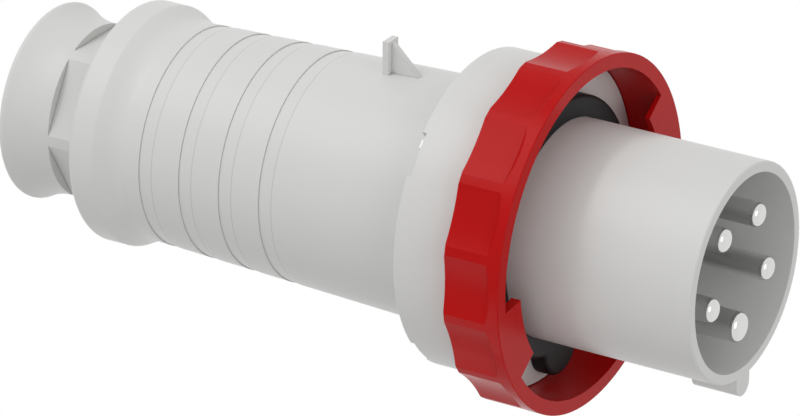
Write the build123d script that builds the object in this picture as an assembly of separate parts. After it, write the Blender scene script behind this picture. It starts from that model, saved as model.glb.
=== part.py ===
"""Industrial pin and sleeve plug, 63 A, five pins, splash-proof type with a bayonet locking ring.

The plug's axis is X, with the mouth of the sleeve at x = 0 and the cable entry towards -X.
Z is up: the keying nose and the earth pin are at the bottom, the cap-cord lug is on top.
Angles about the axis are measured from +Y towards +Z, in degrees. Lengths are millimetres.
"""
from build123d import *
from math import cos, degrees, radians, sin, sqrt
import os

# Clearances
RUN_GAP = 0.3            # between bodies that move against each other
FIT_GAP = 0.1            # between pieces that are assembled and stay put
THREAD_GAP = 0.05        # on radius, between a thread and its hole
CUT_PAST = 1.0           # how far a cutter runs past the face it opens

# Sleeve with its keying nose
SLEEVE_R = 36.0
SLEEVE_WALL = 3.5
SLEEVE_REACH = 71.3      # mouth to flange face
RIM_ROUND = 0.7
RIM_BORE_ROUND = 0.2
KEY_WIDTH = 8.4
KEY_TIP_R = 42.4
KEY_LENGTH = 16.0

# Locking ring: sixteen hollow grips, two inner bayonet lugs
RING_SPACE = 2.0         # between the collar and the ring's bore
RING_WALL = 4.85
RING_LENGTH = 20.0
RING_LEAD = 16.2         # ring's front face ahead of the flange face
RING_EDGE_ROUND = 0.3
GRIP_COUNT = 16
GRIP_DEPTH = 1.8
GRIP_BELT = 4.9          # plain belt left at the front of the ring
GRIP_END_RISE = 1.0      # slope of each grip's front end, as rise over length
GRIP_LAND_ANGLE = 2.9
GRIP_START_ANGLE = 10.0
LUG_HEIGHT = 9.25        # the lugs stand inwards from the ring's bore
LUG_ANGLE = 30.0
LUG_START_ANGLE = 6.0
LUG_THICK = 3.3
LUG_THIN = 1.7           # at the end that leads when the ring locks
RING_LIP = 2.0           # inner lip at the ring's rear edge
RING_TURN = 60.0
STOP_ANGLE = 8.0
STOP_START_ANGLE = 56.0
STOP_DEPTH = 0.9

# Front housing behind the sleeve
FLANGE_THICK = 7.0
FLANGE_LIP = 1.5
COLLAR_R = 52.05
COLLAR_WALL = 3.55
COLLAR_LENGTH = 25.9     # flange face to the collar's rear face
COLLAR_ROUND = 0.8
RIDGE_HEIGHT = 0.55      # snap ridge that keeps the ring from sliding back
RIDGE_LENGTH = 1.6
NOTCH_ANGLE = 16.0
NOTCH_DEPTH = 1.85
NOTCH_ABOVE = 40.5       # notch centres above and below the horizontal
NOTCH_BELOW = 44.5

# Flange gasket
GASKET_THICK = 5.8
GASKET_R = 43.0
GASKET_LOBE_R = 10.2
GASKET_LOBE_DROP = 41.3
GASKET_ROUND = 1.5

# Contact pins and their terminals
PIN_CIRCLE_R = 19.0
PIN_NAMES = ("pin_earth", "pin_l1", "pin_l2", "pin_l3", "pin_neutral")
EARTH_PIN_ANGLE = -90.0
PHASE_PIN_R = 4.0
EARTH_PIN_R = 5.0
PIN_SETBACK = 0.4
PIN_ROUND = 2.0
PIN_SHANK_HEIGHT = 0.5   # the shank in the carrier is this much thicker than the pin
PIN_SHANK_AHEAD = 0.5    # the shank starts in front of the carrier's face
SHOULDER_R = 8.5
SHOULDER_LENGTH = 3.0
TERMINAL_R = 7.0
TERMINAL_LENGTH = 24.0
WIRE_BORE_R = 4.7
WIRE_BORE_DEPTH = 20.0
TERMINAL_SCREW_R = 3.0
TERMINAL_SCREW_LENGTH = 7.0
TERMINAL_SCREW_BACK = 9.0
PLATE_THICK = 1.2
PLATE_LENGTH = 12.0

# Contact carrier and the retainer behind it
CARRIER_DEPTH = 52.0     # mouth to the carrier's front face
CARRIER_FACE_THICK = 5.0
CARRIER_WALL = 2.8
CARRIER_FLANGE_SPACE = 1.2   # between the carrier's flange and the cup
CARRIER_FLANGE_THICK = 4.0
PIN_TUBE_R = 10.3
HUB_R = 6.5
RETAINER_SPACE = 0.4     # between the retainer and the carrier screws' heads
RETAINER_THICK = 4.0
BARRIER_EDGE = 3.5       # the barriers end this far inside the retainer's edge
BARRIER_LENGTH = 20.0
BARRIER_THICK = 2.0
CARRIER_SCREW_EDGE = 4.3     # screw's middle to the flange's edge
CARRIER_SCREW_COUNT = 4
CARRIER_SCREW_R = 2.0
CARRIER_SCREW_BITE = 5.0
HUB_SCREW_R = 2.5
HUB_SCREW_BITE = 14.0
HEAD_R_RATIO = 1.9       # a pan head against the radius of its thread
HEAD_HEIGHT_RATIO = 1.3
HEAD_ROUND_RATIO = 0.6
CROSS_DEPTH_RATIO = 0.5
CROSS_SLIT_RATIO = 0.4

# Handle
CUP_WALL = 4.5
CUP_LENGTH = 12.6
CUP_FLOOR = 3.9
HANDLE_STEP = 11.45      # the handle's front lies this far inside the collar's surface
HANDLE_TAPER = 3.9
HANDLE_WALL = 3.2
HANDLE_LENGTH = 114.0    # collar's rear face to the foot of the hump
GROOVE_COUNT = 4
GROOVE_PITCH = 15.55
GROOVE_LENGTH = 5.0
GROOVE_DEPTH = 0.35
GROOVE_INSET = 8.85      # last groove's step ahead of the foot of the hump
HUMP_HEIGHT = 3.8        # over the handle at its foot
HUMP_RAMP = 7.0
HUMP_LENGTH = 9.4
HUMP_FOOT_ROUND = 12.0
HUMP_EDGE_ROUND = 1.5
BOSS_R = 30.2            # plain boss behind the hump, as wide as the gland nut
BOSS_LENGTH = 5.4
SEAL_GROOVE_WIDTH = 2.6
SEAL_GROOVE_DEPTH = 1.6
SEAL_INSET = 2.6
SNAP_HEIGHT = 1.4
SNAP_LENGTH = 3.0
SNAP_ANGLE = 12.0
LATCH_ANGLES = (135.0, 315.0)
LATCH_WIDTH = 2.8
LATCH_THICK = 0.8
LATCH_FOOT = 1.7         # the leaf's foot stands off the handle's surface
LATCH_REACH = 1.2        # the hook's tip lies this far inside the collar's wall
CORD_LUG_BACK = 31.4     # collar's rear face to the cap-cord lug
CORD_LUG_THICK = 2.2
CORD_LUG_WIDTH = 6.0
CORD_LUG_BELOW = 1.45    # the lug's tip stays below the collar's surface
CORD_LUG_WEB = 2.0
CORD_LUG_WEB_LENGTH = 10.4
CORD_LUG_WEB_DROP = 0.5

# Cable gland
NECK_R = 23.5
NECK_LENGTH = 12.0
NECK_BORE_R = 20.2
CABLE_R = 16.5
SEAT_SPACE = 0.5         # the seat and the pressure rings stand off the nut's throat
SEAL_SEAT_AHEAD = 6.0    # the seal's seat lies ahead of the handle's rear face
PRESSURE_RING_THICK = 2.2
PRESSURE_RING_ENTRY = 5.0    # the rear ring lies inside the neck
NUT_TAKE_UP = 1.0        # the nut can still be tightened by this much
CABLE_SEAL_BORE_R = 13.5
CABLE_SEAL_RIBS = 3
CABLE_SEAL_RIB_DEPTH = 1.0
NUT_R = 29.25
NUT_LENGTH = 26.7
NUT_STRAIGHT = 11.2
NUT_FLARE_RADIUS = 26.5
NUT_RIM_ROUND = 1.3
NUT_FLATS = 6
NUT_ACROSS_FLATS = 52.4
NUT_FLAT_LENGTH = 9.5
NUT_MOUTH_R = 30.0
NUT_THROAT_LENGTH = 4.0

# Stations along the axis that several pieces share
FLANGE_X = -SLEEVE_REACH
RING_FRONT_X = FLANGE_X + RING_LEAD
RING_REAR_X = RING_FRONT_X - RING_LENGTH
RING_BORE_R = COLLAR_R + RING_SPACE
RING_R = RING_BORE_R + RING_WALL
LUG_BORE_R = RING_BORE_R - LUG_HEIGHT
LIP_REAR_X = FLANGE_X - FLANGE_LIP
WEB_REAR_X = FLANGE_X - FLANGE_THICK
COLLAR_REAR_X = FLANGE_X - COLLAR_LENGTH
COLLAR_BORE_R = COLLAR_R - COLLAR_WALL
CARRIER_REAR_X = WEB_REAR_X - CARRIER_FLANGE_THICK
RETAINER_REAR_X = CARRIER_REAR_X - RETAINER_THICK
SHOULDER_FRONT_X = CARRIER_REAR_X + SHOULDER_LENGTH
TERMINAL_REAR_X = CARRIER_REAR_X - TERMINAL_LENGTH
CUP_REAR_X = COLLAR_REAR_X + LATCH_THICK
CUP_FRONT_X = CUP_REAR_X + CUP_LENGTH
CUP_R = COLLAR_BORE_R - RUN_GAP
CUP_BORE_R = CUP_R - CUP_WALL
CARRIER_FLANGE_R = CUP_BORE_R - CARRIER_FLANGE_SPACE
CARRIER_SCREW_CIRCLE_R = CARRIER_FLANGE_R - CARRIER_SCREW_EDGE
RETAINER_R = CARRIER_SCREW_CIRCLE_R - HEAD_R_RATIO * CARRIER_SCREW_R - RETAINER_SPACE
BARRIER_REACH_R = RETAINER_R - BARRIER_EDGE
HANDLE_FRONT_R = COLLAR_R - HANDLE_STEP
HANDLE_REAR_R = HANDLE_FRONT_R - HANDLE_TAPER
HUMP_R = HANDLE_REAR_R + HUMP_HEIGHT
CORD_LUG_TIP = COLLAR_R - CORD_LUG_BELOW
HUMP_FOOT_X = COLLAR_REAR_X - HANDLE_LENGTH
HUMP_FRONT_X = HUMP_FOOT_X - HUMP_RAMP
HUMP_REAR_X = HUMP_FRONT_X - HUMP_LENGTH
HANDLE_REAR_X = HUMP_REAR_X - BOSS_LENGTH
NECK_REAR_X = HANDLE_REAR_X - NECK_LENGTH
SEAL_SEAT_X = HANDLE_REAR_X + SEAL_SEAT_AHEAD
NUT_FRONT_X = HANDLE_REAR_X - RUN_GAP
NUT_REAR_X = NUT_FRONT_X - NUT_LENGTH
REAR_RING_X = NECK_REAR_X + PRESSURE_RING_ENTRY
SEAT_BORE_R = CABLE_R + SEAT_SPACE
NUT_NOSE_X = REAR_RING_X - PRESSURE_RING_THICK - RUN_GAP
NUT_SHOULDER_X = NECK_REAR_X - NUT_TAKE_UP
SNAP_ANGLES = (NOTCH_ABOVE, 180 - NOTCH_ABOVE, 180 + NOTCH_BELOW, -NOTCH_BELOW)
PIN_PITCH_ANGLE = 360 / len(PIN_NAMES)
PIN_ANGLES = {name: EARTH_PIN_ANGLE + PIN_PITCH_ANGLE * number
              for number, name in enumerate(PIN_NAMES)}


def turned(*corners):
    """Solid turned about the axis; each corner is (x, radius) or (x, radius, corner round)."""
    face = make_face(Polyline(*[corner[:2] for corner in corners], close=True))
    for corner in corners:
        if len(corner) == 3:
            vertex = face.vertices().sort_by_distance(corner[:2] + (0,))[0]
            face = fillet(vertex, corner[2])
    return revolve(face, Axis.X)


def rod(x0, x1, radius):
    """Plain round bar on the axis."""
    return turned((x0, 0), (x0, radius), (x1, radius), (x1, 0))


def tube(x0, x1, inner, outer):
    """Plain round tube on the axis."""
    return turned((x0, inner), (x0, outer), (x1, outer), (x1, inner))


def arc_block(x0, x1, inner, outer, start, sweep):
    """Part of a tube, from one angle about the axis through a sweep."""
    face = make_face(Polyline((x0, inner), (x0, outer), (x1, outer), (x1, inner), close=True))
    return Rot(X=start) * revolve(face, Axis.X, sweep)


def block(x0, x1, y0, y1, z0, z1):
    """Plain block between two corners."""
    middle = Pos((x0 + x1) / 2, (y0 + y1) / 2, (z0 + z1) / 2)
    return middle * Box(abs(x1 - x0), abs(y1 - y0), abs(z1 - z0))


def at_pin(angle, shape):
    """Moves a shape that was made on the axis to a pin's place on the pin circle."""
    return Rot(X=angle) * Pos(0, PIN_CIRCLE_R, 0) * shape


def pin_radius(name):
    """The earth pin is the thicker one."""
    return EARTH_PIN_R if name == "pin_earth" else PHASE_PIN_R


def shank_radius(name):
    """Radius of the pin where it runs through the carrier."""
    return pin_radius(name) + PIN_SHANK_HEIGHT


def keying_nose():
    """Nose under the mouth, which fits the keyway of the socket; its tip is a full half round."""
    root = SLEEVE_R - SLEEVE_WALL / 2
    tip_centre = KEY_TIP_R - KEY_WIDTH / 2
    web = Pos(0, -(root + tip_centre) / 2) * Rectangle(KEY_WIDTH, tip_centre - root)
    tip = Pos(0, -tip_centre) * Circle(KEY_WIDTH / 2)
    return extrude(Plane.YZ * (web + tip), -KEY_LENGTH)


def plug_housing():
    """Front moulding in one piece: sleeve, flange with its lip, and collar."""
    lip_r = RING_BORE_R - RUN_GAP
    bore = SLEEVE_R - SLEEVE_WALL
    ledge = CUP_FRONT_X + RUN_GAP
    ridge_front = RING_REAR_X - RUN_GAP
    ridge_r = COLLAR_R + RIDGE_HEIGHT
    body = turned(
        (0, bore, RIM_BORE_ROUND), (0, SLEEVE_R, RIM_ROUND), (FLANGE_X, SLEEVE_R), (FLANGE_X, lip_r),
        (LIP_REAR_X, lip_r), (LIP_REAR_X, COLLAR_R),
        (ridge_front, COLLAR_R), (ridge_front, ridge_r),
        (ridge_front - RIDGE_LENGTH, COLLAR_R),
        (COLLAR_REAR_X, COLLAR_R, COLLAR_ROUND), (COLLAR_REAR_X, COLLAR_BORE_R),
        (ledge, COLLAR_BORE_R), (ledge, CARRIER_FLANGE_R + COLLAR_WALL),
        (WEB_REAR_X, CARRIER_FLANGE_R + COLLAR_WALL), (WEB_REAR_X, bore))
    body += keying_nose()
    body -= stop_track()
    for angle in SNAP_ANGLES:
        body -= arc_block(
            COLLAR_REAR_X, COLLAR_REAR_X + NOTCH_DEPTH, COLLAR_BORE_R, COLLAR_R + RIDGE_HEIGHT,
            angle - NOTCH_ANGLE / 2, NOTCH_ANGLE)
        body -= snap_block(angle, RUN_GAP)
    for angle in screw_angles():
        hole = rod(WEB_REAR_X, WEB_REAR_X + CARRIER_SCREW_BITE + RUN_GAP,
                   CARRIER_SCREW_R + THREAD_GAP)
        body -= Rot(X=angle) * Pos(0, CARRIER_SCREW_CIRCLE_R, 0) * hole
    return body


def stop_track():
    """Shallow arc groove under the ring's lip, as long as the ring may turn."""
    spare = degrees(RUN_GAP / COLLAR_R)
    return arc_block(
        LIP_REAR_X, RING_REAR_X - RUN_GAP, COLLAR_R - STOP_DEPTH - RUN_GAP, COLLAR_R + RUN_GAP,
        STOP_START_ANGLE - spare, STOP_ANGLE + RING_TURN + 2 * spare)


def snap_block(angle, growth):
    """Nose on the handle's cup that snaps into the collar; grown, it cuts the nose's pocket."""
    front = CUP_REAR_X + SNAP_LENGTH + NOTCH_DEPTH + growth
    back = CUP_REAR_X + NOTCH_DEPTH - growth
    sweep = SNAP_ANGLE + 2 * degrees(growth / CUP_R)
    inner = CUP_R - FIT_GAP
    return arc_block(back, front, inner, CUP_R + SNAP_HEIGHT + growth, angle - sweep / 2, sweep)


def screw_angles():
    """Angles of the carrier screws, kept off the horizontal and the vertical."""
    step = 360 / CARRIER_SCREW_COUNT
    return [step * (number + 0.5) for number in range(CARRIER_SCREW_COUNT)]


def locking_ring():
    """Bayonet ring with hollow grips outside, lugs at the front and a lip at the rear."""
    lip_r = COLLAR_R + RUN_GAP
    lip_front = RING_REAR_X + RING_LIP - RUN_GAP
    ring = turned(
        (RING_FRONT_X, RING_BORE_R), (RING_FRONT_X, RING_R, RING_EDGE_ROUND),
        (RING_REAR_X, RING_R, RING_EDGE_ROUND), (RING_REAR_X, lip_r),
        (lip_front, lip_r), (lip_front, RING_BORE_R))
    ring -= [Rot(X=GRIP_START_ANGLE + 360 / GRIP_COUNT * (number + 0.5)) * grip_cutter()
             for number in range(GRIP_COUNT)]
    for start in (LUG_START_ANGLE, LUG_START_ANGLE + 180):
        ring += bayonet_lug(start)
    ring += arc_block(RING_REAR_X, lip_front, COLLAR_R - STOP_DEPTH, lip_r + FIT_GAP,
                      STOP_START_ANGLE, STOP_ANGLE)
    return ring


def grip_cutter():
    """Large round bar, beside the axis at +Y, that hollows one grip; its front end tapers."""
    half = radians(180 / GRIP_COUNT - GRIP_LAND_ANGLE / 2)
    floor_r = RING_R - GRIP_DEPTH
    rise = RING_R * cos(half) - floor_r
    half_chord = RING_R * sin(half)
    radius = (half_chord ** 2 + rise ** 2) / (2 * rise)
    front = RING_FRONT_X - GRIP_BELT
    rear = RING_REAR_X - CUT_PAST
    taper = 2 * GRIP_DEPTH / GRIP_END_RISE
    bar = turned((rear, 0), (rear, radius), (front, radius),
                 (front + taper, radius - taper * GRIP_END_RISE), (front + taper, 0))
    return Pos(0, floor_r + radius, 0) * bar


def bayonet_lug(start):
    """Inner lug, flush with the ring's front face; its back is a ramp, thin at the leading end."""
    lug = arc_block(RING_FRONT_X - LUG_THICK, RING_FRONT_X, LUG_BORE_R, RING_BORE_R + FIT_GAP,
                    start, LUG_ANGLE)
    half = LUG_BORE_R * sin(radians(LUG_ANGLE / 2))
    beyond = 2 * half
    fall = (LUG_THICK - LUG_THIN) / (2 * half)
    back = RING_FRONT_X - LUG_THICK
    ramp = Polyline((back, -half), (back + fall * (half + beyond), beyond),
                    (back - LUG_THICK, beyond), (back - LUG_THICK, -half), close=True)
    cutter = extrude(Plane.XZ * make_face(ramp), 2 * RING_BORE_R, both=True)
    reach = block(RING_REAR_X, RING_FRONT_X + CUT_PAST, LUG_BORE_R / 2, RING_R, -RING_R, RING_R)
    return lug - Rot(X=start + LUG_ANGLE / 2) * (cutter & reach)


def flange_gasket():
    """Flat rubber seal round the foot of the sleeve, with a lobe behind the keying nose."""
    outline = Circle(GASKET_R) + Pos(0, -GASKET_LOBE_DROP) * Circle(GASKET_LOBE_R)
    bored = outline - Circle(SLEEVE_R + FIT_GAP)
    seal = extrude(Plane.YZ.offset(FLANGE_X) * bored, GASKET_THICK)
    front_edges = seal.faces().sort_by(Axis.X)[-1].outer_wire().edges()
    return fillet(front_edges, GASKET_ROUND)


def contact_carrier():
    """Insulating insert: face plate, outer wall, mounting flange, and a tube for every pin."""
    wall_r = SLEEVE_R - SLEEVE_WALL - FIT_GAP
    face_back = -CARRIER_DEPTH - CARRIER_FACE_THICK
    carrier = turned(
        (-CARRIER_DEPTH, 0), (-CARRIER_DEPTH, wall_r), (WEB_REAR_X, wall_r),
        (WEB_REAR_X, CARRIER_FLANGE_R), (CARRIER_REAR_X, CARRIER_FLANGE_R),
        (CARRIER_REAR_X, wall_r - CARRIER_WALL), (face_back, wall_r - CARRIER_WALL),
        (face_back, HUB_R), (CARRIER_REAR_X, HUB_R), (CARRIER_REAR_X, 0))
    for angle in PIN_ANGLES.values():
        carrier += at_pin(angle, rod(CARRIER_REAR_X, face_back, PIN_TUBE_R))
    for name, angle in PIN_ANGLES.items():
        passage = rod(CARRIER_REAR_X - CUT_PAST, 0, shank_radius(name) + FIT_GAP)
        pocket = rod(CARRIER_REAR_X, SHOULDER_FRONT_X + FIT_GAP, SHOULDER_R + FIT_GAP)
        carrier -= at_pin(angle, passage + pocket)
    for angle in screw_angles():
        hole = rod(CARRIER_REAR_X, WEB_REAR_X, CARRIER_SCREW_R + FIT_GAP)
        carrier -= Rot(X=angle) * Pos(0, CARRIER_SCREW_CIRCLE_R, 0) * hole
    carrier -= rod(CARRIER_REAR_X, CARRIER_REAR_X + HUB_SCREW_BITE, HUB_SCREW_R + THREAD_GAP)
    return carrier


def carrier_retainer():
    """Plate behind the pin shoulders, with an insulating barrier between each two terminals."""
    plate = rod(RETAINER_REAR_X, CARRIER_REAR_X, RETAINER_R)
    for angle in PIN_ANGLES.values():
        barrier = block(RETAINER_REAR_X - BARRIER_LENGTH, RETAINER_REAR_X, HUB_R,
                        BARRIER_REACH_R, -BARRIER_THICK / 2, BARRIER_THICK / 2)
        plate += Rot(X=angle + PIN_PITCH_ANGLE / 2) * barrier
    plate += tube(RETAINER_REAR_X - BARRIER_LENGTH, RETAINER_REAR_X, HUB_R, HUB_R + BARRIER_THICK)
    for angle in PIN_ANGLES.values():
        plate -= at_pin(angle, rod(RETAINER_REAR_X - CUT_PAST, CARRIER_REAR_X,
                                   TERMINAL_R + FIT_GAP))
    plate -= rod(RETAINER_REAR_X, CARRIER_REAR_X, HUB_SCREW_R + FIT_GAP)
    return plate


def contact_pin(name):
    """Turned pin: rounded tip, thicker shank, shoulder held in the carrier, screw terminal."""
    radius = pin_radius(name)
    shank_front = -CARRIER_DEPTH + PIN_SHANK_AHEAD
    pin = turned(
        (-PIN_SETBACK, 0), (-PIN_SETBACK, radius, PIN_ROUND), (shank_front, radius),
        (shank_front, shank_radius(name)), (SHOULDER_FRONT_X, shank_radius(name)),
        (SHOULDER_FRONT_X, SHOULDER_R), (CARRIER_REAR_X, SHOULDER_R),
        (CARRIER_REAR_X, TERMINAL_R), (TERMINAL_REAR_X, TERMINAL_R),
        (TERMINAL_REAR_X, WIRE_BORE_R), (TERMINAL_REAR_X + WIRE_BORE_DEPTH, WIRE_BORE_R),
        (TERMINAL_REAR_X + WIRE_BORE_DEPTH, 0))
    pin -= terminal_hole()
    return at_pin(PIN_ANGLES[name], pin)


def terminal_hole():
    """Threaded hole for the terminal screw, on the side of the terminal away from the axis."""
    hole = Cylinder(TERMINAL_SCREW_R + THREAD_GAP, 2 * TERMINAL_R)
    return Pos(TERMINAL_REAR_X + TERMINAL_SCREW_BACK, TERMINAL_R, 0) * Rot(X=90) * hole


def plate_offset():
    """Height of the clamping plate's outer face above the middle of the wire bore."""
    return WIRE_BORE_R - PLATE_THICK


def terminal_clamp_plates():
    """Loose plate under every terminal screw, which spreads the screw's load over the strands."""
    half_width = sqrt(WIRE_BORE_R ** 2 - plate_offset() ** 2) - FIT_GAP
    middle = TERMINAL_REAR_X + TERMINAL_SCREW_BACK
    plate = block(middle - PLATE_LENGTH / 2, middle + PLATE_LENGTH / 2,
                  plate_offset() - PLATE_THICK, plate_offset(), -half_width, half_width)
    return Compound([at_pin(angle, plate) for angle in PIN_ANGLES.values()])


def terminal_screws():
    """Slotted grub screw in every terminal, standing on its clamping plate."""
    middle = TERMINAL_REAR_X + TERMINAL_SCREW_BACK
    top = plate_offset() + TERMINAL_SCREW_LENGTH
    shank = Pos(middle, plate_offset() + TERMINAL_SCREW_LENGTH / 2, 0) * Rot(X=90) * Cylinder(
        TERMINAL_SCREW_R, TERMINAL_SCREW_LENGTH)
    slot = block(middle - TERMINAL_SCREW_R, middle + TERMINAL_SCREW_R,
                 top - TERMINAL_SCREW_R / 2, top, -TERMINAL_SCREW_R / 6, TERMINAL_SCREW_R / 6)
    return Compound([at_pin(angle, shank - slot) for angle in PIN_ANGLES.values()])


def pan_head_screw(seat_x, radius, bite):
    """Pan-head screw on the axis, head towards -X, with a cross recess."""
    head_r = HEAD_R_RATIO * radius
    head_back = seat_x - HEAD_HEIGHT_RATIO * radius
    screw = turned((seat_x + bite, 0), (seat_x + bite, radius), (seat_x, radius), (seat_x, head_r),
                   (head_back, head_r, HEAD_ROUND_RATIO * radius), (head_back, 0))
    slit = CROSS_SLIT_RATIO * radius / 2
    recess = block(head_back, head_back + CROSS_DEPTH_RATIO * radius, -radius, radius,
                   -slit, slit)
    return screw - recess - Rot(X=90) * recess


def carrier_screws():
    """Screws that hold the carrier's flange against the back of the housing's web."""
    bite = CARRIER_FLANGE_THICK + CARRIER_SCREW_BITE
    screw = pan_head_screw(CARRIER_REAR_X, CARRIER_SCREW_R, bite)
    placed = Pos(0, CARRIER_SCREW_CIRCLE_R, 0) * screw
    return Compound([Rot(X=angle) * placed for angle in screw_angles()])


def retainer_screw():
    """Middle screw that pulls the retainer against the pin shoulders."""
    bite = RETAINER_THICK + HUB_SCREW_BITE - RUN_GAP
    return pan_head_screw(RETAINER_REAR_X, HUB_SCREW_R, bite)


def handle_radius(x):
    """Outer radius of the tapered grip at a station on the axis."""
    share = (CUP_REAR_X - x) / (CUP_REAR_X - HUMP_FOOT_X)
    return HANDLE_FRONT_R + (HANDLE_REAR_R - HANDLE_FRONT_R) * share


def grip_corners():
    """Corners of the grip's outline, front to rear: each groove falls slowly and ends in a step."""
    corners = []
    last = HUMP_FOOT_X + GROOVE_INSET
    for number in reversed(range(GROOVE_COUNT)):
        step = last + number * GROOVE_PITCH
        corners.append((step + GROOVE_LENGTH, handle_radius(step + GROOVE_LENGTH)))
        corners.append((step, handle_radius(step) - GROOVE_DEPTH))
        corners.append((step, handle_radius(step)))
    return corners


def handle():
    """Rear moulding in one piece: cup, tapered grip, hump, boss, threaded neck, seal's seat."""
    seal_front = CUP_FRONT_X - SEAL_INSET
    seal_rear = seal_front - SEAL_GROOVE_WIDTH
    groove_r = CUP_R - SEAL_GROOVE_DEPTH
    floor_x = CUP_REAR_X + CUP_FLOOR
    inside_front = handle_radius(CUP_REAR_X) - HANDLE_WALL
    inside_rear = HANDLE_REAR_R - HANDLE_WALL
    hump_inside = HUMP_R - 2 * HANDLE_WALL
    rear_wall = SEAL_SEAT_X + HANDLE_WALL
    body = turned(
        (CUP_FRONT_X, CUP_BORE_R), (CUP_FRONT_X, CUP_R), (seal_front, CUP_R),
        (seal_front, groove_r), (seal_rear, groove_r), (seal_rear, CUP_R), (CUP_REAR_X, CUP_R),
        (CUP_REAR_X, HANDLE_FRONT_R), *grip_corners(),
        (HUMP_FOOT_X, HANDLE_REAR_R, HUMP_FOOT_ROUND), (HUMP_FRONT_X, HUMP_R, HUMP_EDGE_ROUND),
        (HUMP_REAR_X, HUMP_R, HUMP_EDGE_ROUND), (HUMP_REAR_X, BOSS_R), (HANDLE_REAR_X, BOSS_R),
        (HANDLE_REAR_X, NECK_R), (NECK_REAR_X, NECK_R), (NECK_REAR_X, NECK_BORE_R),
        (SEAL_SEAT_X, NECK_BORE_R), (SEAL_SEAT_X, SEAT_BORE_R), (rear_wall, SEAT_BORE_R),
        (rear_wall, hump_inside), (HUMP_FRONT_X, hump_inside), (HUMP_FOOT_X, inside_rear),
        (floor_x, inside_front), (floor_x, CUP_BORE_R))
    body += cord_lug()
    for angle in SNAP_ANGLES:
        body += snap_block(angle, 0)
    return body


def cord_lug():
    """Lug on top for the cord of the protective cap: a plate across the axis and its web."""
    back = COLLAR_REAR_X - CORD_LUG_BACK - CORD_LUG_THICK
    front = back + CORD_LUG_THICK
    root = handle_radius(back) - HANDLE_WALL / 2
    plate = block(back, front, -CORD_LUG_WIDTH / 2, CORD_LUG_WIDTH / 2, root, CORD_LUG_TIP)
    toe = front + CORD_LUG_WEB_LENGTH
    slope = Polyline((front, root), (front, CORD_LUG_TIP - CORD_LUG_WEB_DROP),
                     (toe, handle_radius(toe)), (toe, root), close=True)
    web = extrude(Plane.XZ * make_face(slope), CORD_LUG_WEB / 2, both=True)
    return plate + web


def latch_springs():
    """Bent steel leaf in two of the notches: it lies on the cup and hooks into the collar."""
    tip_r = COLLAR_BORE_R + LATCH_REACH
    leaf = block(CUP_REAR_X - LATCH_THICK, CUP_REAR_X, HANDLE_FRONT_R + LATCH_FOOT, tip_r,
                 -LATCH_WIDTH / 2, LATCH_WIDTH / 2)
    hook = block(CUP_REAR_X, COLLAR_REAR_X + NOTCH_DEPTH - RUN_GAP, CUP_R + RUN_GAP, tip_r,
                 -LATCH_WIDTH / 2, LATCH_WIDTH / 2)
    return Compound([Rot(X=angle) * (leaf + hook) for angle in LATCH_ANGLES])


def housing_seal():
    """Rubber ring in the cup's groove, pressed flat between the groove and the collar."""
    front = CUP_FRONT_X - SEAL_INSET - FIT_GAP
    rear = front - SEAL_GROOVE_WIDTH + 2 * FIT_GAP
    return tube(front, rear, CUP_R - SEAL_GROOVE_DEPTH + FIT_GAP, COLLAR_BORE_R - FIT_GAP)


def pressure_ring(front_x):
    """Flat ring that carries the gland's thrust to the cable seal."""
    return tube(front_x, front_x - PRESSURE_RING_THICK, SEAT_BORE_R, NECK_BORE_R - FIT_GAP)


def cable_seal():
    """Rubber sleeve round the cable, grooved inside so that it closes on the sheath."""
    front = SEAL_SEAT_X - PRESSURE_RING_THICK
    rear = REAR_RING_X + RUN_GAP
    seal = tube(front, rear, CABLE_SEAL_BORE_R, NECK_BORE_R - FIT_GAP)
    pitch = (front - rear) / CABLE_SEAL_RIBS
    for number in range(CABLE_SEAL_RIBS):
        middle = front - pitch * (number + 0.5)
        seal -= tube(middle + pitch / 4, middle - pitch / 4, CABLE_SEAL_BORE_R - CUT_PAST,
                     CABLE_SEAL_BORE_R + CABLE_SEAL_RIB_DEPTH)
    return seal


def gland_nut():
    """Trumpet-shaped gland nut: spanner flats, threaded bore, inner nose, and flared mouth."""
    flare_x = NUT_FRONT_X - NUT_STRAIGHT
    rim_r = flare_radius(flare_x - NUT_REAR_X)
    middle_x = (flare_x + NUT_REAR_X) / 2
    throat_x = NUT_SHOULDER_X - NUT_THROAT_LENGTH
    bore = NECK_R + THREAD_GAP
    nose_r = NECK_BORE_R - RUN_GAP
    outline = (
        Polyline((NUT_REAR_X, rim_r), (NUT_REAR_X, NUT_MOUTH_R))
        + EllipticalCenterArc((throat_x, NUT_MOUTH_R), throat_x - NUT_REAR_X,
                              NUT_MOUTH_R - CABLE_R, start_angle=180, arc_size=90)
        + Polyline((throat_x, CABLE_R), (NUT_NOSE_X, CABLE_R), (NUT_NOSE_X, nose_r),
                   (NUT_SHOULDER_X, nose_r), (NUT_SHOULDER_X, bore),
                   (NUT_FRONT_X, bore), (NUT_FRONT_X, NUT_R), (flare_x, NUT_R))
        + ThreePointArc((flare_x, NUT_R), (middle_x, flare_radius(flare_x - middle_x)),
                        (NUT_REAR_X, rim_r)))
    face = make_face(outline)
    rim = face.vertices().sort_by_distance((NUT_REAR_X, rim_r, 0))[0]
    nut = revolve(fillet(rim, NUT_RIM_ROUND), Axis.X)
    flat_r = NUT_ACROSS_FLATS / 2
    flat = block(NUT_FRONT_X - NUT_FLAT_LENGTH, NUT_FRONT_X + CUT_PAST, flat_r, 2 * NUT_R,
                 -NUT_R, NUT_R)
    for number in range(NUT_FLATS):
        nut -= Rot(X=360 / NUT_FLATS * (number + 0.5)) * flat
    return nut


def flare_radius(run):
    """Outer radius of the nut at a distance behind the point where it starts to flare."""
    return NUT_R + NUT_FLARE_RADIUS - sqrt(NUT_FLARE_RADIUS ** 2 - run ** 2)


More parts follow.
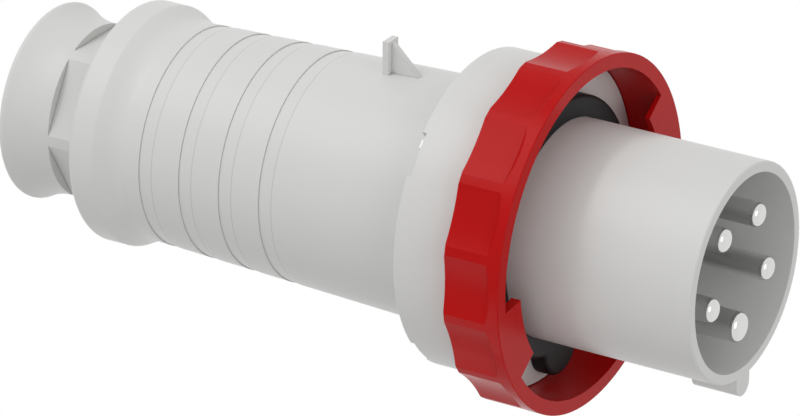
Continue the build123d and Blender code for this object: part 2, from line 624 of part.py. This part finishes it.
def main():
    pieces = {
        "plug_housing": plug_housing(),
        "locking_ring": locking_ring(),
        "flange_gasket": flange_gasket(),
        "contact_carrier": contact_carrier(),
        "carrier_retainer": carrier_retainer(),
        "terminal_clamp_plates": terminal_clamp_plates(),
        "terminal_screws": terminal_screws(),
        "carrier_screws": carrier_screws(),
        "retainer_screw": retainer_screw(),
        "handle": handle(),
        "latch_springs": latch_springs(),
        "housing_seal": housing_seal(),
        "pressure_ring_front": pressure_ring(SEAL_SEAT_X),
        "cable_seal": cable_seal(),
        "pressure_ring_rear": pressure_ring(REAR_RING_X),
        "gland_nut": gland_nut(),
    }
    for name in PIN_NAMES:
        pieces[name] = contact_pin(name)
    os.makedirs("parts", exist_ok=True)
    for name, shape in pieces.items():
        export_step(shape, f"parts/{name}.step")


main()
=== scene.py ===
import math
import bpy
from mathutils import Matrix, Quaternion, Vector

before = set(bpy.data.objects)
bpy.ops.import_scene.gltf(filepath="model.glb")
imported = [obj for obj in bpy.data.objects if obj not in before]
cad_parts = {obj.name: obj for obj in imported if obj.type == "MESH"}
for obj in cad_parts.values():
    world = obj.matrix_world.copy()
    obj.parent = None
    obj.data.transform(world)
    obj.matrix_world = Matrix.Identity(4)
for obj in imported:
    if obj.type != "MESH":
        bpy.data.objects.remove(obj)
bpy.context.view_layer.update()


# Front housing: sleeve with its keying nose, flange and collar in one piece.
# Injection moulded in light grey polyamide; the mould's spark-eroded skin leaves it satin.
# The handle and the gland nut are moulded in the same plastic.
def add(tree, kind, **values):
    """One shader node; a keyword that names an input sets it, any other sets the node itself."""
    node = tree.nodes.new(kind)
    for key, value in values.items():
        if hasattr(node, key):
            setattr(node, key, value)
        else:
            node.inputs[key.replace("_", " ")].default_value = value
    return node


def reckon(tree, operation, *terms):
    """The output of one math node; each term is a number or another node's output."""
    node = add(tree, "ShaderNodeMath", operation=operation)
    for socket, term in zip(node.inputs, terms):
        if isinstance(term, bpy.types.NodeSocket):
            tree.links.new(term, socket)
        else:
            socket.default_value = term
    return node.outputs[0]


def new_group(name, inputs, outputs):
    """An empty node group of float sockets; inputs pairs each name with its default value."""
    group = bpy.data.node_groups.new(name, "ShaderNodeTree")
    for label, value in inputs:
        socket = group.interface.new_socket(label, in_out="INPUT", socket_type="NodeSocketFloat")
        socket.default_value = value
    for label in outputs:
        group.interface.new_socket(label, in_out="OUTPUT", socket_type="NodeSocketFloat")
    return group, add(group, "NodeGroupInput"), add(group, "NodeGroupOutput")


def skin_group():
    """Moulded skin: Height is fine eroded grain over slow sink marks, Tone is soft mottling."""
    group, given, result = new_group("moulded_skin", (("Grain", 2600.0), ("Flow", 38.0)),
                                     ("Height", "Tone"))
    sink_share = 0.35
    place = add(group, "ShaderNodeTexCoord")
    grain = add(group, "ShaderNodeTexNoise", Detail=3.0, Roughness=0.62)
    flow = add(group, "ShaderNodeTexNoise", Detail=2.0, Roughness=0.5, Distortion=0.6)
    link = group.links.new
    for noise, size in ((grain, "Grain"), (flow, "Flow")):
        link(place.outputs["Object"], noise.inputs["Vector"])
        link(given.outputs[size], noise.inputs["Scale"])
    height = reckon(group, "MULTIPLY_ADD", flow.outputs["Fac"], sink_share, grain.outputs["Fac"])
    link(height, result.inputs["Height"])
    link(flow.outputs["Fac"], result.inputs["Tone"])
    return group


def corner_group():
    """Corner shade: Open is 1 on open faces and falls in narrow inner corners, by occlusion."""
    group, given, result = new_group("corner_shade", (("Reach", 0.001),), ("Open",))
    near = add(group, "ShaderNodeAmbientOcclusion", samples=6, only_local=False)
    curve = add(group, "ShaderNodeMapRange", interpolation_type="SMOOTHSTEP",
                From_Min=0.15, From_Max=0.75)
    group.links.new(given.outputs["Reach"], near.inputs["Distance"])
    group.links.new(near.outputs["AO"], curve.inputs["Value"])
    group.links.new(curve.outputs["Result"], result.inputs["Open"])
    return group


moulded_skin = skin_group()
corner_shade = corner_group()


def new_material(name):
    """A material with the default shader; returns it, its node tree and its shader."""
    material = bpy.data.materials.new(name)
    material.use_nodes = True
    return material, material.node_tree, material.node_tree.nodes["Principled BSDF"]


def finish_surface(tree, shader, colour, tone, rough, height, bump):
    """Feeds a shader its colour, a roughness between two values by tone, and relief by height."""
    gloss = add(tree, "ShaderNodeMapRange", To_Min=rough[0], To_Max=rough[1])
    link = tree.links.new
    link(colour, shader.inputs["Base Color"])
    link(tone, gloss.inputs["Value"])
    link(gloss.outputs["Result"], shader.inputs["Roughness"])
    link(height, bump.inputs["Height"])
    link(bump.outputs["Normal"], shader.inputs["Normal"])


def plastic(name, light, dark, corner_shade_colour, rough, grain=2600.0, specular=0.5):
    """Satin plastic: its colour drifts between light and dark; inner corners take a painted shade
    colour, by occlusion.
    """
    grain_depth, edge_radius = 0.00002, 0.00015
    material, tree, shader = new_material(name)
    shader.inputs["Specular IOR Level"].default_value = specular
    skin = add(tree, "ShaderNodeGroup", node_tree=moulded_skin, Grain=grain)
    corner = add(tree, "ShaderNodeGroup", node_tree=corner_shade)
    drift = add(tree, "ShaderNodeMix", data_type="RGBA", A=(*dark, 1), B=(*light, 1))
    # Painted shade: the colour darkens towards the shade colour in inner corners, by occlusion.
    corner_shaded = add(tree, "ShaderNodeMix", data_type="RGBA", A=(*corner_shade_colour, 1))
    bump = add(tree, "ShaderNodeBump", Strength=0.35, Distance=grain_depth)
    soft_edge = add(tree, "ShaderNodeBevel", samples=4, Radius=edge_radius)
    link = tree.links.new
    link(skin.outputs["Tone"], drift.inputs["Factor"])
    link(drift.outputs["Result"], corner_shaded.inputs["B"])
    link(corner.outputs["Open"], corner_shaded.inputs["Factor"])
    link(soft_edge.outputs["Normal"], bump.inputs["Normal"])
    finish_surface(tree, shader, corner_shaded.outputs["Result"], skin.outputs["Tone"], rough,
                   skin.outputs["Height"], bump)
    return material


def light_grey(name, corner_shade_colour=(0.24, 0.24, 0.235)):
    """The light grey polyamide, as a material of its own for each piece."""
    return plastic(name, (0.75, 0.75, 0.735), (0.72, 0.72, 0.705), corner_shade_colour, (0.30, 0.38),
                   specular=0.22)


def dress(names, material):
    """Gives CAD nodes one material."""
    for name in names:
        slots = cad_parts[name].data.materials
        slots.clear()
        slots.append(material)


dress(["plug_housing"], light_grey("light_grey_housing"))


# Contact carrier and the retainer behind it.
# Grey thermoset insulation, pressed; the carrier's face closes the sleeve round the five pins.
# The retainer's barriers keep the cores of neighbouring terminals apart.
# Its third colour is the painted shade of inner corners.
insert_plastic = plastic("insulating_thermoset", (0.42, 0.42, 0.415), (0.38, 0.38, 0.375),
                         (0.08, 0.08, 0.08), (0.45, 0.55), grain=1800.0)
dress(["contact_carrier", "carrier_retainer"], insert_plastic)


# Contact pins: three phases, neutral and the thicker earth pin.
# Brass turned from bar, then nickel plated; fine turning marks run round each shaft.
def turned_metal(name, bright, dull, rough, marks=0.15):
    """Plated turned metal: rings of pitch along X move the gloss, slow clouds move the colour."""
    pitch, across, mark_depth = 0.00012, 8.0, 0.000005
    material, tree, shader = new_material(name)
    shader.inputs["Metallic"].default_value = 1.0
    place = add(tree, "ShaderNodeTexCoord")
    stretch = add(tree, "ShaderNodeMapping", Scale=(1 / pitch, across, across))
    rings = add(tree, "ShaderNodeTexNoise", Detail=2.0, Scale=1.0)
    clouds = add(tree, "ShaderNodeTexNoise", Detail=3.0, Scale=160.0)
    colour = add(tree, "ShaderNodeMix", data_type="RGBA", A=(*bright, 1), B=(*dull, 1))
    bump = add(tree, "ShaderNodeBump", Strength=marks, Distance=mark_depth)
    link = tree.links.new
    link(place.outputs["Object"], stretch.inputs["Vector"])
    link(stretch.outputs["Vector"], rings.inputs["Vector"])
    link(place.outputs["Object"], clouds.inputs["Vector"])
    link(clouds.outputs["Fac"], colour.inputs["Factor"])
    finish_surface(tree, shader, colour.outputs["Result"], rings.outputs["Fac"], rough,
                   rings.outputs["Fac"], bump)
    return material


def polish_and_shade_end(material, start, fade, rough, colour):
    """Polishes a turned metal in front of start along X, and paints its colour darker there as
    shade.
    """
    tree = material.node_tree
    shader = tree.nodes["Principled BSDF"]
    place = add(tree, "ShaderNodeTexCoord")
    along = add(tree, "ShaderNodeSeparateXYZ")
    front = add(tree, "ShaderNodeMapRange", From_Min=start - fade, From_Max=start)
    polish = add(tree, "ShaderNodeMix", data_type="FLOAT", B=rough)
    tip_shade = add(tree, "ShaderNodeMix", data_type="RGBA", B=(*colour, 1))
    link = tree.links.new
    link(place.outputs["Object"], along.inputs[0])
    link(along.outputs["X"], front.inputs["Value"])
    for change, socket in ((polish, "Roughness"), (tip_shade, "Base Color")):
        link(front.outputs["Result"], change.inputs["Factor"])
        link(shader.inputs[socket].links[0].from_socket, change.inputs["A"])
        link(change.outputs["Result"], shader.inputs[socket])


nickel = turned_metal("nickel_plated_brass", (0.84, 0.84, 0.835), (0.79, 0.79, 0.785),
                      (0.26, 0.32), marks=0.03)
# Painted shade: the polished tips take a darker copy of the nickel colour.
polish_and_shade_end(nickel, start=-0.0019, fade=0.0012, rough=0.05, colour=(0.66, 0.66, 0.655))
dress(["pin_earth", "pin_l1", "pin_l2", "pin_l3", "pin_neutral"], nickel)


# Clamping plates, terminal screws, and the screws of the carrier and retainer.
# Small steel pieces, zinc plated, tumbled smooth.
zinc = turned_metal("zinc_plated_steel", (0.62, 0.63, 0.64), (0.50, 0.50, 0.49), (0.25, 0.42))
dress(["terminal_clamp_plates", "terminal_screws", "carrier_screws", "retainer_screw"], zinc)


# Flange gasket, and the ring that seals the handle in the collar.
# Black rubber, pressed; it is dull, with fine bloom on its skin.
def rubber(name, light, dark, rough):
    """Black rubber: the moulded skin's grain, coarser, with bloom that greys it in soft clouds."""
    material, tree, shader = new_material(name)
    shader.inputs["Specular IOR Level"].default_value = 0.25
    skin = add(tree, "ShaderNodeGroup", node_tree=moulded_skin, Grain=1500.0, Flow=70.0)
    bloom = add(tree, "ShaderNodeMix", data_type="RGBA", A=(*dark, 1), B=(*light, 1))
    bump = add(tree, "ShaderNodeBump", Strength=0.5, Distance=0.00003)
    tree.links.new(skin.outputs["Tone"], bloom.inputs["Factor"])
    finish_surface(tree, shader, bloom.outputs["Result"], skin.outputs["Tone"], rough,
                   skin.outputs["Height"], bump)
    return material


black_rubber = rubber("black_rubber", (0.012, 0.012, 0.0125), (0.008, 0.008, 0.0085),
                      (0.5, 0.66))
dress(["flange_gasket", "housing_seal"], black_rubber)


# Locking ring with hollow grips and two bayonet lugs; it turns on the collar.
# Signal red polyamide for 400 V, moulded; a little glossier than the grey housing.
# Its third colour is the painted shade of inner corners.
red_plastic = plastic("signal_red_polyamide", (0.53, 0.0055, 0.0055), (0.50, 0.0045, 0.0045),
                      (0.17, 0.001, 0.001), (0.20, 0.26), specular=0.08)
dress(["locking_ring"], red_plastic)


# Handle: cup, tapered grip with its four grooves, hump, and threaded neck of the gland.
# One grey moulding, screwed into the collar; a fine line of painted shade marks each groove's front
# crease.
def crease_shade_group():
    """Crease shade lines: Line is 1 within Half of each of Count rings, Pitch apart along X."""
    group, given, result = new_group(
        "crease_shade_lines", (("First", 0.0), ("Pitch", 0.01), ("Count", 4.0), ("Half", 0.0003)),
        ("Line",))
    place = add(group, "ShaderNodeTexCoord")
    along = add(group, "ShaderNodeSeparateXYZ")
    group.links.new(place.outputs["Object"], along.inputs[0])
    past = reckon(group, "SUBTRACT", along.outputs["X"], given.outputs["First"])
    nearest = reckon(group, "ROUND", reckon(group, "DIVIDE", past, given.outputs["Pitch"]))
    last = reckon(group, "SUBTRACT", given.outputs["Count"], 1.0)
    ring = reckon(group, "MINIMUM", reckon(group, "MAXIMUM", nearest, 0.0), last)
    centre = reckon(group, "MULTIPLY", ring, given.outputs["Pitch"])
    line = reckon(group, "COMPARE", past, centre, given.outputs["Half"])
    group.links.new(line, result.inputs["Line"])
    return group


def paint_crease_shade(material, shade, **sizes):
    """Paints shade over a plastic's colour on crease lines of the given sizes."""
    tree = material.node_tree
    colour = tree.nodes["Principled BSDF"].inputs["Base Color"]
    crease_lines = add(tree, "ShaderNodeGroup", node_tree=crease_shade_group(), **sizes)
    darker = add(tree, "ShaderNodeMix", data_type="RGBA", blend_type="MULTIPLY",
                 B=(shade, shade, shade, 1))
    link = tree.links.new
    link(crease_lines.outputs["Line"], darker.inputs["Factor"])
    link(colour.links[0].from_socket, darker.inputs["A"])
    link(darker.outputs["Result"], colour)


# The handle's painted corner shade is lighter, so its groove steps are shaded less.
handle_plastic = light_grey("light_grey_handle", corner_shade_colour=(0.36, 0.36, 0.35))
# Painted shade: a darker line on the crease at each groove's front end.
paint_crease_shade(handle_plastic, shade=0.86, First=-0.19735, Pitch=0.01555, Half=0.00022)
dress(["handle"], handle_plastic)


# Latch springs: bent leaves of stainless spring steel that hold the handle in the collar.
# They are bright, and show in two of the collar's notches.
spring_steel = turned_metal("spring_steel", (0.38, 0.38, 0.375), (0.33, 0.33, 0.325),
                            (0.30, 0.40))
dress(["latch_springs"], spring_steel)


# Cable gland: two pressure rings, the ribbed rubber seal between them, and the flared nut.
# The rings are hard grey plastic, and the nut is moulded like the housing.
# Its third colour is the painted shade of inner corners.
ring_plastic = plastic("pressure_ring_plastic", (0.42, 0.42, 0.41), (0.38, 0.38, 0.37),
                       (0.15, 0.15, 0.15), (0.4, 0.5))
dress(["pressure_ring_front", "pressure_ring_rear"], ring_plastic)
seal_rubber = rubber("seal_rubber", (0.040, 0.040, 0.040), (0.024, 0.024, 0.024), (0.55, 0.7))
dress(["cable_seal"], seal_rubber)
dress(["gland_nut"], light_grey("light_grey_nut"))


# Studio: a pale floor well under the object, a white surround and four soft lamps.
# The two narrow lamps draw the bright streaks on the ring's hollow grips.
# The camera stands where the photograph was taken from, with its long lens.
def white_for_camera(tree, surface, kind, output):
    """Camera, glossy and transmission rays see plain white; every other ray sees the surface."""
    rays = add(tree, "ShaderNodeLightPath")
    seen = reckon(tree, "MAXIMUM", rays.outputs["Is Camera Ray"], rays.outputs["Is Glossy Ray"])
    any_seen = reckon(tree, "MAXIMUM", seen, rays.outputs["Is Transmission Ray"])
    white = add(tree, kind, Color=(1.0, 1.0, 1.0, 1), Strength=1.0)
    mix = add(tree, "ShaderNodeMixShader")
    link = tree.links.new
    link(any_seen, mix.inputs["Fac"])
    link(surface.outputs[0], mix.inputs[1])
    link(white.outputs[0], mix.inputs[2])
    link(mix.outputs[0], tree.nodes[output].inputs["Surface"])


world = bpy.data.worlds.new("studio_surround")
bpy.context.scene.world = world
world.use_nodes = True
surround = world.node_tree.nodes["Background"]
surround.inputs["Color"].default_value = (1.0, 1.0, 1.0, 1)
surround.inputs["Strength"].default_value = 0.595
white_for_camera(world.node_tree, surround, "ShaderNodeBackground", "World Output")

half, floor_z = 6.0, -0.55
floor_mesh = bpy.data.meshes.new("studio_floor")
floor_mesh.from_pydata([(-half, -half, floor_z), (half, -half, floor_z),
                        (half, half, floor_z), (-half, half, floor_z)], [], [(0, 1, 2, 3)])
floor = bpy.data.objects.new("studio_floor", floor_mesh)
bpy.context.scene.collection.objects.link(floor)
floor_paint, floor_tree, floor_shader = new_material("studio_white")
floor_shader.inputs["Base Color"].default_value = (0.57, 0.57, 0.57, 1)
floor_shader.inputs["Roughness"].default_value = 0.9
white_for_camera(floor_tree, floor_shader, "ShaderNodeEmission", "Material Output")
floor_mesh.materials.append(floor_paint)


def turn_towards(holder, direction, roll=0.0):
    """Turns a lamp or camera to look along a direction, rolled about it by degrees."""
    turned = direction.to_track_quat("-Z", "Y")
    holder.rotation_mode = "QUATERNION"
    holder.rotation_quaternion = turned @ Quaternion((0, 0, 1), math.radians(roll))


def lamp(name, place, sides, power, aim=(-0.12, 0.0, 0.0), roll=0.0):
    """Rectangular soft lamp, its sides in metres, aimed at the object's middle or another point."""
    light = bpy.data.lights.new(name, "AREA")
    light.shape = "RECTANGLE"
    light.size, light.size_y = sides
    light.energy = power
    holder = bpy.data.objects.new(name, light)
    bpy.context.scene.collection.objects.link(holder)
    holder.location = place
    turn_towards(holder, Vector(aim) - Vector(place), roll)


lamp("key_lamp", place=(-1.0, -0.7, 1.5), sides=(1.5, 1.5), power=7.1)
lamp("strip_lamp", place=(-0.97, -0.68, 1.46), sides=(1.3, 0.16), power=3.8, roll=-45)
lamp("low_strip", place=(-0.355, -0.41, -0.42), sides=(0.4, 0.06), power=0.16,
     aim=(-0.062, -0.045, -0.01), roll=62)
lamp("front_lamp", place=(1.65, -0.85, 0.65), sides=(1.2, 1.2), power=7.0)

target = Vector((-0.12612, 0.0, -0.00765))
azimuth, elevation, distance = math.radians(31.320), math.radians(24.703), 2.0093
back = Vector((math.sin(azimuth) * math.cos(elevation), -math.cos(azimuth) * math.cos(elevation),
               math.sin(elevation)))
photo_width, lens_pixels, sensor_width = 800, 6243.7, 36.0
camera_data = bpy.data.cameras.new("photo_camera")
camera_data.sensor_width = sensor_width
camera_data.lens = sensor_width * lens_pixels / photo_width
camera_data.clip_start, camera_data.clip_end = 0.05, 30.0
camera = bpy.data.objects.new("photo_camera", camera_data)
bpy.context.scene.collection.objects.link(camera)
camera.location = target + back * distance
turn_towards(camera, -back)
bpy.context.scene.camera = camera

bpy.context.scene.view_settings.view_transform = "Standard"
